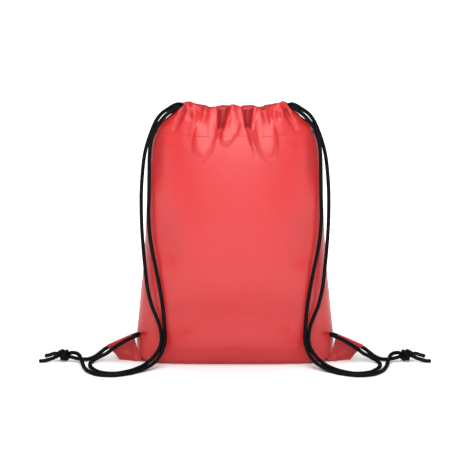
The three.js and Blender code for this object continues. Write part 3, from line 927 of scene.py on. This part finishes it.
# %% [markdown]
# ## Corner tabs
# A tab is a strip of the same cloth, folded over the cord and sewn into the bottom corner of the bag. It
# is one sheet that runs up one face, round the cord and down the other face.

# %% Tabs
TAB_FOLD = ((-0.155, -0.0138, 0.0381), (-0.192, -0.006, 0.0202))  # where the cord passes, bag side and tip
TAB_ROOT = ((-0.141, -0.0205, 0.0008), (-0.1755, -0.0075, 0.0008))
TAB_TUNNEL = CORD_RADIUS + 0.001
TAB_COLUMNS = 60
TAB_FACE_POINTS = 44
TAB_HALF_GAP = 0.0004  # half the space between the two faces below the tunnel
TAB_THICKNESS = 0.0005
TAB_RIPPLE = 0.0009
TAB_RIDGE = 0.0035  # the crease that runs down from the bag side
TAB_STITCH_POINT = 29  # the place in a tab's row where its seam lies, below the tunnel
# One face of the fold's section, in tunnel radii down from the cord and out from the middle.
TAB_SECTION = ((-1, 0), (-0.72, 0.7), (0, 1), (0.75, 0.8), (1.45, 0.38), (2.1, 0.17), (2.9, 0.12))


def tab_rows(side):
    fold, root = (for_side(points, side) for points in (TAB_FOLD, TAB_ROOT))
    along = fold[1] - fold[0]
    rows = []
    for share in np.linspace(-0.02, 1, TAB_COLUMNS):
        cord = fold[0] + share * along
        foot = root[0] + share * (root[1] - root[0])
        down = foot - cord
        depth = np.linalg.norm(down)
        down /= depth
        out = np.cross(along, down)
        out *= -np.sign(out[1]) / np.linalg.norm(out)
        profile = [(d * TAB_TUNNEL, n * TAB_TUNNEL, 0) for d, n in TAB_SECTION]
        profile += [(d, TAB_HALF_GAP, 0) for d in np.linspace(3.3 * TAB_TUNNEL, depth, 12)]
        face = curve_through(profile, depth / 60)
        face = face[np.linspace(0, len(face) - 1, TAB_FACE_POINTS).round().astype(int)]
        below = np.clip((face[:, 0] - 2 * TAB_TUNNEL) / max(depth - 2 * TAB_TUNNEL, 1e-6), 0, 1)
        ripple = TAB_RIPPLE * np.sin(9 * share + 5 * below) * np.sin(np.pi * below)
        ridge = TAB_RIDGE * np.exp(-((share - 0.02 - 0.3 * below) / 0.1) ** 2) * below * (1 - 0.4 * below)
        bent = (ripple + ridge)[:, None]
        front = cord + face[:, :1] * down + (face[:, 1:2] + bent) * out
        back = cord + face[:, :1] * down - (face[:, 1:2] - bent) * out
        rows.append(np.vstack([front[::-1], back[1:]]))
    rows = np.array(rows)
    rows[..., 2] = np.maximum(rows[..., 2], CLOTH_THICKNESS)
    return rows


tabs, tab_grids = {}, {}
for name, side in SIDES:
    tab_grids[name] = tab_rows(side)
    tabs[name] = cloth_piece(f"{name}_corner_tab_cloth", tab_grids[name], side)
    # painted shade over the whole tab
    point_values(tabs[name], "painted_shade", np.full(tab_grids[name].shape[:2], TAB_PAINTED_SHADE))
    thicken(tabs[name], TAB_THICKNESS)

# %% [markdown]
# ## Seam allowances
# Inside the bag the panels' edges stand in as a double strip along the sides and the bottom. They are
# seldom seen, but they keep the bag true when the mouth is looked into.

# %% Seam strips
STRIP_WIDTH = 0.010
STRIP_THICKNESS = 0.0004
STRIP_INSET = 0.0036  # the fold's distance from the outside of the bag
SIDE_STRIP_ENDS = (0.02, 0.343)
BOTTOM_STRIP_END = 0.125


def seam_strip(name, edge, inward, out):
    """Both layers of a seam allowance, as one folded sheet whose fold is at the seam line."""
    edge = np.asarray(edge, float)
    share = np.linspace(1, -1, 17)
    spread = 0.0004 + 0.0006 * np.abs(share) ** 2
    wave = 0.0005 * np.sin(np.arange(len(edge)) * 0.9)
    rows = (edge[:, None] + np.abs(share)[None, :, None] * STRIP_WIDTH * np.asarray(inward)[None, None]
            + (np.sign(share) * spread)[None, :, None] * np.asarray(out)[None, None]
            + wave[:, None, None] * np.abs(share)[None, :, None] * np.asarray(out)[None, None])
    piece = cloth_piece(name, rows, 1)
    thicken(piece, STRIP_THICKNESS)
    return piece


seams = {}
for name, side in SIDES:
    edge = [(side * (float(soft_value(z, SECTION_WIDTH)) - STRIP_INSET), 0, z)
            for z in np.linspace(*SIDE_STRIP_ENDS, 110)]
    seams[f"{name}_side_seam"] = seam_strip(f"{name}_side_seam_strip", edge, (-side, 0, 0), (0, 1, 0))
edge = [(x, 0, STRIP_INSET) for x in np.linspace(-BOTTOM_STRIP_END, BOTTOM_STRIP_END, 90)]
seams["bottom_seam"] = seam_strip("bottom_seam_strip", edge, (0, 0, 1), (0, 1, 0))

# %% [markdown]
# ## Stitches
# A row of sewing is a line of short thread loops whose ends dive into the cloth. One stitch is modelled
# from a small sphere, drawn out and bent down at its ends, and copied along each row. It has few faces,
# because there are hundreds of them.

# %% One stitch and its rows
THREAD_RADIUS = 0.0004
STITCH_LENGTH = 0.0027
STITCH_PITCH = 0.0034


def one_stitch():
    bpy.ops.object.select_all(action="DESELECT")
    bpy.ops.mesh.primitive_uv_sphere_add(segments=6, ring_count=6, radius=THREAD_RADIUS,
                                         rotation=(0, math.pi / 2, 0))
    piece = bpy.context.object
    piece.name = "stitch"
    bpy.ops.object.transform_apply(location=False, rotation=True, scale=False)
    bpy.ops.object.mode_set(mode="EDIT")
    bpy.ops.mesh.select_all(action="SELECT")
    bpy.ops.transform.resize(value=(STITCH_LENGTH / 2 / THREAD_RADIUS, 1, 1))
    bpy.ops.mesh.select_all(action="DESELECT")
    bpy.ops.object.mode_set(mode="OBJECT")
    for vertex in piece.data.vertices:
        vertex.select = abs(vertex.co.x) > 0.3 * STITCH_LENGTH
    bpy.ops.object.mode_set(mode="EDIT")
    bpy.ops.transform.translate(value=(0, 0, -0.9 * THREAD_RADIUS))
    bpy.ops.object.mode_set(mode="OBJECT")
    smooth(piece)
    return piece


def stitch_row(name, template, line, outward):
    """Copies the stitch along a line on the cloth, lying flat on it."""
    line, outward = np.asarray(line), np.asarray(outward)
    lengths = lengths_along(line)
    copies = []
    for place in np.arange(STITCH_PITCH / 2, lengths[-1], STITCH_PITCH):
        at = Vector([np.interp(place, lengths, line[:, axis]) for axis in range(3)])
        ahead = Vector([np.interp(place + 0.001, lengths, line[:, axis]) for axis in range(3)])
        up = Vector([np.interp(place, lengths, outward[:, axis]) for axis in range(3)]).normalized()
        along = (ahead - at).normalized()
        across = up.cross(along).normalized()
        up = along.cross(across)
        turned = Matrix((along, across, up)).transposed().to_4x4()
        copy = bpy.data.objects.new(name, template.data.copy())
        copy.data.transform(Matrix.Translation(at + up * THREAD_RADIUS * 0.4) @ turned)
        bpy.context.scene.collection.objects.link(copy)
        copies.append(copy)
    print(name, len(copies), "stitches")
    return joined(name, copies)


def surface_normals(rows, facing):
    along = np.gradient(rows, axis=1)
    upward = np.gradient(rows, axis=0)
    normal = np.cross(along, upward) * -facing
    return normal / (np.linalg.norm(normal, axis=2, keepdims=True) + 1e-12)


stitch = one_stitch()
threads = {}
CASING_ROW = len(UNDERSIDE) + len(BODY_HEIGHTS) + 2
for face, rows, facing in (("front", front_rows, -1), ("back", back_rows, 1)):
    normals = surface_normals(rows, facing)
    threads[f"{face}_casing_stitches"] = stitch_row(f"{face}_casing_thread", stitch, rows[CASING_ROW, 3:-3],
                                                    normals[CASING_ROW, 3:-3])
for name, side in SIDES:
    grid = tab_grids[name]
    normals = surface_normals(grid, side)
    threads[f"{name}_tab_stitches"] = stitch_row(f"{name}_tab_thread", stitch, grid[3:-3, TAB_STITCH_POINT],
                                                 normals[3:-3, TAB_STITCH_POINT])
bpy.data.objects.remove(stitch)

# %% [markdown]
# ## Writing finishes as sums
# A finish is a network of nodes. Written one by one the nodes hide the idea, so a small class lets a
# socket be used in a Python sum: 1 - mask adds the Math node that computes it.

# %% Shader helpers
class Wire:
    """An output socket that can be added, multiplied and subtracted."""

    def __init__(self, finish, socket):
        self.finish = finish
        self.socket = socket

    def math(self, operation, *values):
        return self.finish.node("ShaderNodeMath", {"operation": operation}, dict(enumerate(values)))

    def __add__(self, other):
        return self.math("ADD", self, other)

    def __sub__(self, other):
        return self.math("SUBTRACT", self, other)

    def __rsub__(self, other):
        return self.math("SUBTRACT", other, self)

    def __mul__(self, other):
        return self.math("MULTIPLY", self, other)

    __radd__ = __add__
    __rmul__ = __mul__

    def sine(self):
        return self.math("SINE", self)


class Finish:
    """A material with a Principled shader, and one method that adds any node."""

    def __init__(self, name):
        self.material = bpy.data.materials.new(name)
        self.material.use_nodes = True
        self.nodes = self.material.node_tree.nodes
        self.links = self.material.node_tree.links
        self.shader = self.nodes["Principled BSDF"]

    def set(self, target, value):
        if isinstance(value, Wire):
            self.links.new(value.socket, target)
        elif isinstance(value, (tuple, list)) and len(value) == 3 and target.type == "RGBA":
            target.default_value = (*value, 1)
        else:
            target.default_value = value

    def node(self, kind, settings=None, sockets=None, output=0):
        node = self.nodes.new(kind)
        for key, value in (settings or {}).items():
            if key == "stops":
                for stop, (place, colour) in zip(node.color_ramp.elements, value):
                    stop.position, stop.color = place, (*colour, 1)
            else:
                setattr(node, key, value)
        for key, value in (sockets or {}).items():
            self.set(node.inputs[key], value)
        return Wire(self, node.outputs[output])

    def principled(self, **sockets):
        for key, value in sockets.items():
            self.set(self.shader.inputs[key.replace("_", " ")], value)

    def parts(self, vector):
        """The x, y and z of a vector, as three wires."""
        split = self.node("ShaderNodeSeparateXYZ", {}, {0: vector}).socket.node
        return [Wire(self, socket) for socket in split.outputs]

    def bump(self, strength, distance, height, **sockets):
        sockets.update(Strength=strength, Distance=distance, Height=height)
        return self.node("ShaderNodeBump", {}, sockets)

    def mix(self, factor, first, second):
        return self.node("ShaderNodeMix", {"data_type": "RGBA"}, {0: factor, 6: first, 7: second}, output=2)

    def noise(self, where, scale, detail=2.0):
        return self.node("ShaderNodeTexNoise", {}, {"Vector": where, "Scale": scale, "Detail": detail})


# %% [markdown]
# ## Red polyester
# The cloth is a thin, closely woven polyester with a soft gloss. Its weave is finer than a pixel from
# where it is usually seen, so it is a small bump that follows the flat cloth, and the eye mostly reads
# the broad sheen, faint creasing and slight unevenness of the dye. Where the cloth lies in several layers,
# at the bottom of a tuck, inside the hem and on the tabs, and in creases, shade is painted into the colour
# as a deeper red. The render doesn't let light through the cloth, and this painted shade is mixed in by a
# value kept at each point.

# %% Cloth finish
CLOTH_RED = (0.47, 0.0155, 0.0165)
CLOTH_RED_DEEP = (0.445, 0.0135, 0.015)
PAINTED_SHADE_RED = (0.26, 0.0, 0.001)  # painted shade: a deeper red for tucks, creases, the inner hem and the tabs
THREADS_PER_METRE = 2400


def red_polyester():
    finish = Finish("red_polyester")
    place = finish.node("ShaderNodeTexCoord", output="Object")
    flat = finish.node("ShaderNodeUVMap", {"uv_map": "surface"})
    u, v, _ = finish.parts(flat)
    turn = math.pi * THREADS_PER_METRE
    weave = (u * turn).sine() * (v * turn).sine()
    dye = finish.noise(place, 14.0, 3.0)
    slub = finish.noise(place, 160.0, 2.0)
    creasing = finish.noise(place, 55.0, 4.0)
    colour = finish.mix(dye * 0.7 + slub * 0.3, CLOTH_RED_DEEP, CLOTH_RED)
    # painted shade in tucks, creases, the inner hem and the tabs, from the value kept at each point
    painted_shade_mask = finish.node("ShaderNodeAttribute", {"attribute_name": "painted_shade"}, output="Fac")
    colour = finish.mix(painted_shade_mask, colour, PAINTED_SHADE_RED)
    weave_bump = finish.bump(0.25, 0.00006, weave)
    crease_bump = finish.bump(0.35, 0.0012, creasing, Normal=weave_bump)
    finish.principled(Base_Color=colour, Roughness=creasing * 0.1 + painted_shade_mask * 0.35 + 0.3, Normal=crease_bump,
                      Sheen_Weight=0.03, Sheen_Roughness=0.4)
    finish.set(finish.shader.inputs["Sheen Tint"], (1.0, 0.72, 0.72))
    return finish.material


# %% [markdown]
# ## Sewing thread
# The thread is spun from two plies, a shade deeper than the cloth, and has no gloss. Fine slanting lines
# round each stitch give it its twist.

# %% Thread finish
THREAD_RED = (0.48, 0.016, 0.017)
THREAD_RED_DEEP = (0.41, 0.012, 0.013)
THREAD_TWIST = 9000.0


def red_thread():
    finish = Finish("red_thread")
    across, _, height = finish.parts(finish.node("ShaderNodeTexCoord", output="Object"))
    twist = ((across + height) * THREAD_TWIST).sine() * 0.5 + 0.5
    colour = finish.mix(twist, THREAD_RED_DEEP, THREAD_RED)
    finish.principled(Base_Color=colour, Roughness=0.75, Normal=finish.bump(0.5, 0.0001, twist))
    return finish.material


# %% [markdown]
# ## Braided cord
# The bundles' shape is in the mesh. The finish adds the single yarns that run along each bundle, paints
# shade into the hollows between bundles, and keeps a dull gloss on their backs.

# %% Cord finish
YARNS_ROUND = 96
YARNS_PER_METRE = 700
CORD_BLACK = (0.0032, 0.0037, 0.005)
# painted shade in the braid's hollows, and the darker yarns
CORD_BLACK_SHADE_AND_YARN = (0.0007, 0.0008, 0.0011)


def black_cord():
    finish = Finish("black_cord")
    turn, along, _ = finish.parts(finish.node("ShaderNodeUVMap", {"uv_map": "surface"}))
    relief = finish.node("ShaderNodeAttribute", {"attribute_name": "relief"}, output="Fac")
    round_yarns = (turn * (2 * math.pi * YARNS_ROUND)).sine()
    yarn = round_yarns * (along * (2 * math.pi * YARNS_PER_METRE)).sine() * 0.5 + 0.5
    # painted shade in the hollows between bundles, mixed with the darker yarns
    colour = finish.mix(relief * 0.75 + yarn * 0.25, CORD_BLACK_SHADE_AND_YARN, CORD_BLACK)
    finish.principled(Base_Color=colour, Roughness=0.66 - relief * 0.16,
                      Normal=finish.bump(0.4, 0.00015, yarn))
    finish.set(finish.shader.inputs["Specular IOR Level"], 0.07)
    return finish.material


finishes = {make.__name__: make() for make in (red_polyester, red_thread, black_cord)}
print("finishes:", list(finishes))

# %% [markdown]
# ## Joining each piece to the model
# Every piece takes a finish, rides on the body it belongs to and stands for the plain solids it replaces.
# The strands of the straps ride on their own bodies, and everything else on the bag.

# %% Finish, ride and replace
def fit(piece, slot, body, *nodes):
    piece.data.materials.clear()
    piece.data.materials.append(finishes[slot])
    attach(piece, body)
    if nodes:
        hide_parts(*nodes)


SIDE_SEAM, BOTTOM_SEAM = 0.325, 0.25  # lengths of the seam allowances
for face, panel in (("front", front_panel), ("back", back_panel)):
    fit(panel, "red_polyester", "bag", f"{face}_panel", f"{face}_casing")
for node, strip in seams.items():
    fit(strip, "red_polyester", "bag", node)
    length = BOTTOM_SEAM if node == "bottom_seam" else SIDE_SEAM
for node, thread in threads.items():
    fit(thread, "red_thread", "bag", node)
for name, _ in SIDES:
    fit(tabs[name], "red_polyester", "bag", f"{name}_corner_tab")
print("fitted", 2 + len(seams) + len(threads) + len(tabs), "pieces of cloth and thread")

# %% [markdown]
# ## Fitting the cords
# Each stretch takes the cord's finish, rides on its body and stands for the solid it replaces. The two
# knotted stretches are one piece, because neither holds without the other.


for name, side in SIDES:
    knot = joined(f"{name}_knot_braid", [cords[name, "front_knot"], cords[name, "back_knot"]])
    fit(knot, "black_cord", "bag", f"{name}_knot")
    for stretch in ("front_tail", "back_tail"):
        fit(cords[name, stretch], "black_cord", "bag", f"{name}_{stretch}")
    for stretch, body, node, lay, far_end, pieces in (
            ("casing_run", "bag", "cord_casing_run", "taut", "object", ()),
            ("front_strand", f"{name}_front_strand_body", "front_strand", "hanging", "object", ()),
            ("back_shoulder_run", "bag", "back_shoulder_run", "hanging", "object", ()),
            ("back_strand", f"{name}_back_strand_body", "back_strand", "hanging", "object", ()),
            ("front_floor_run", "bag", "front_floor_run", "loose", "knot", [knot, cords[name, "front_tail"]]),
            ("back_floor_run", "bag", "back_floor_run", "loose", "knot", [knot, cords[name, "back_tail"]])):
        piece, route = cords[name, stretch], routes[name, stretch]
        if stretch in ("front_strand", "front_floor_run"):
            route = route[::-1]
        fit(piece, "black_cord", body, f"{name}_{node}")
    print(name, "cord fitted in", len(routes) // 2 - 1, "pieces")

# %% [markdown]
# ## Floor and light
# The bag stands on a white surface under large soft lights, as in a studio. The floor is lit until it is
# white all over, and only the faint shadow where the bag and cords touch it remains. A lamp above and one
# in front light the cloth, and two weak ones at the sides keep the lower body from falling dark.

# %% Studio
FLOOR_SIZE = 12.0
SHADOW_REACH, FULL_GLOW = 0.17, 0.55  # the floor's own glow grows between these distances from the bag


def floor():
    bpy.ops.object.select_all(action="DESELECT")
    bpy.ops.mesh.primitive_plane_add(size=FLOOR_SIZE, location=(0, 0, 0))
    piece = bpy.context.object
    piece.name = "floor"
    finish = Finish("floor")
    place = finish.node("ShaderNodeTexCoord", output="Object")
    away = finish.node("ShaderNodeVectorMath", {"operation": "LENGTH"}, {0: place}, output=1)
    far = finish.node("ShaderNodeMapRange", {"interpolation_type": "SMOOTHSTEP"},
                      {"Value": away, "From Min": SHADOW_REACH, "From Max": FULL_GLOW})
    finish.principled(Base_Color=(0.9, 0.9, 0.9), Roughness=0.8, Emission_Color=far, Emission_Strength=1.15)
    finish.set(finish.shader.inputs["Specular IOR Level"], 0.1)
    piece.data.materials.append(finish.material)


def area_light(name, size, power, place, aim):
    light = bpy.data.lights.new(name, "AREA")
    light.shape = "SQUARE"
    light.size = size
    light.energy = power
    lamp = bpy.data.objects.new(name, light)
    lamp.location = place
    lamp.rotation_euler = (Vector(aim) - Vector(place)).to_track_quat("-Z", "Y").to_euler()
    bpy.context.scene.collection.objects.link(lamp)


def white_room(seen, glow):
    """The surroundings are white to the eye and give a softer light to the object."""
    world = bpy.data.worlds.new("room")
    bpy.context.scene.world = world
    world.use_nodes = True
    nodes, links = world.node_tree.nodes, world.node_tree.links
    background = nodes["Background"]
    background.inputs["Color"].default_value = (1, 1, 1, 1)
    path = nodes.new("ShaderNodeLightPath")
    strength = nodes.new("ShaderNodeMapRange")
    strength.inputs["To Min"].default_value = glow
    strength.inputs["To Max"].default_value = seen
    links.new(path.outputs["Is Camera Ray"], strength.inputs["Value"])
    links.new(strength.outputs["Result"], background.inputs["Strength"])


# Lamps: name, size in metres, power in watts, place, and the point they shine at.
LAMPS = (("key", 1.3, 37, (0, -1.95, 1.5), (0, 0, 0.2)),
         ("fill", 1.7, 13, (0.1, -3.4, 1.2), (0, 0, 0.2)),
         ("left_side", 1.2, 5, (-2.2, -1.5, 0.6), (0, 0, 0.08)),
         ("right_side", 1.2, 5, (2.2, -1.5, 0.6), (0, 0, 0.08)),
         ("top", 2.4, 62, (0, -0.2, 2.5), (0, 0, 0.2)))
floor()
white_room(seen=1.0, glow=0.09)
for lamp in LAMPS:
    area_light(*lamp)
print(len(LAMPS), "lamps")
bpy.context.scene.view_settings.view_transform = "Standard"
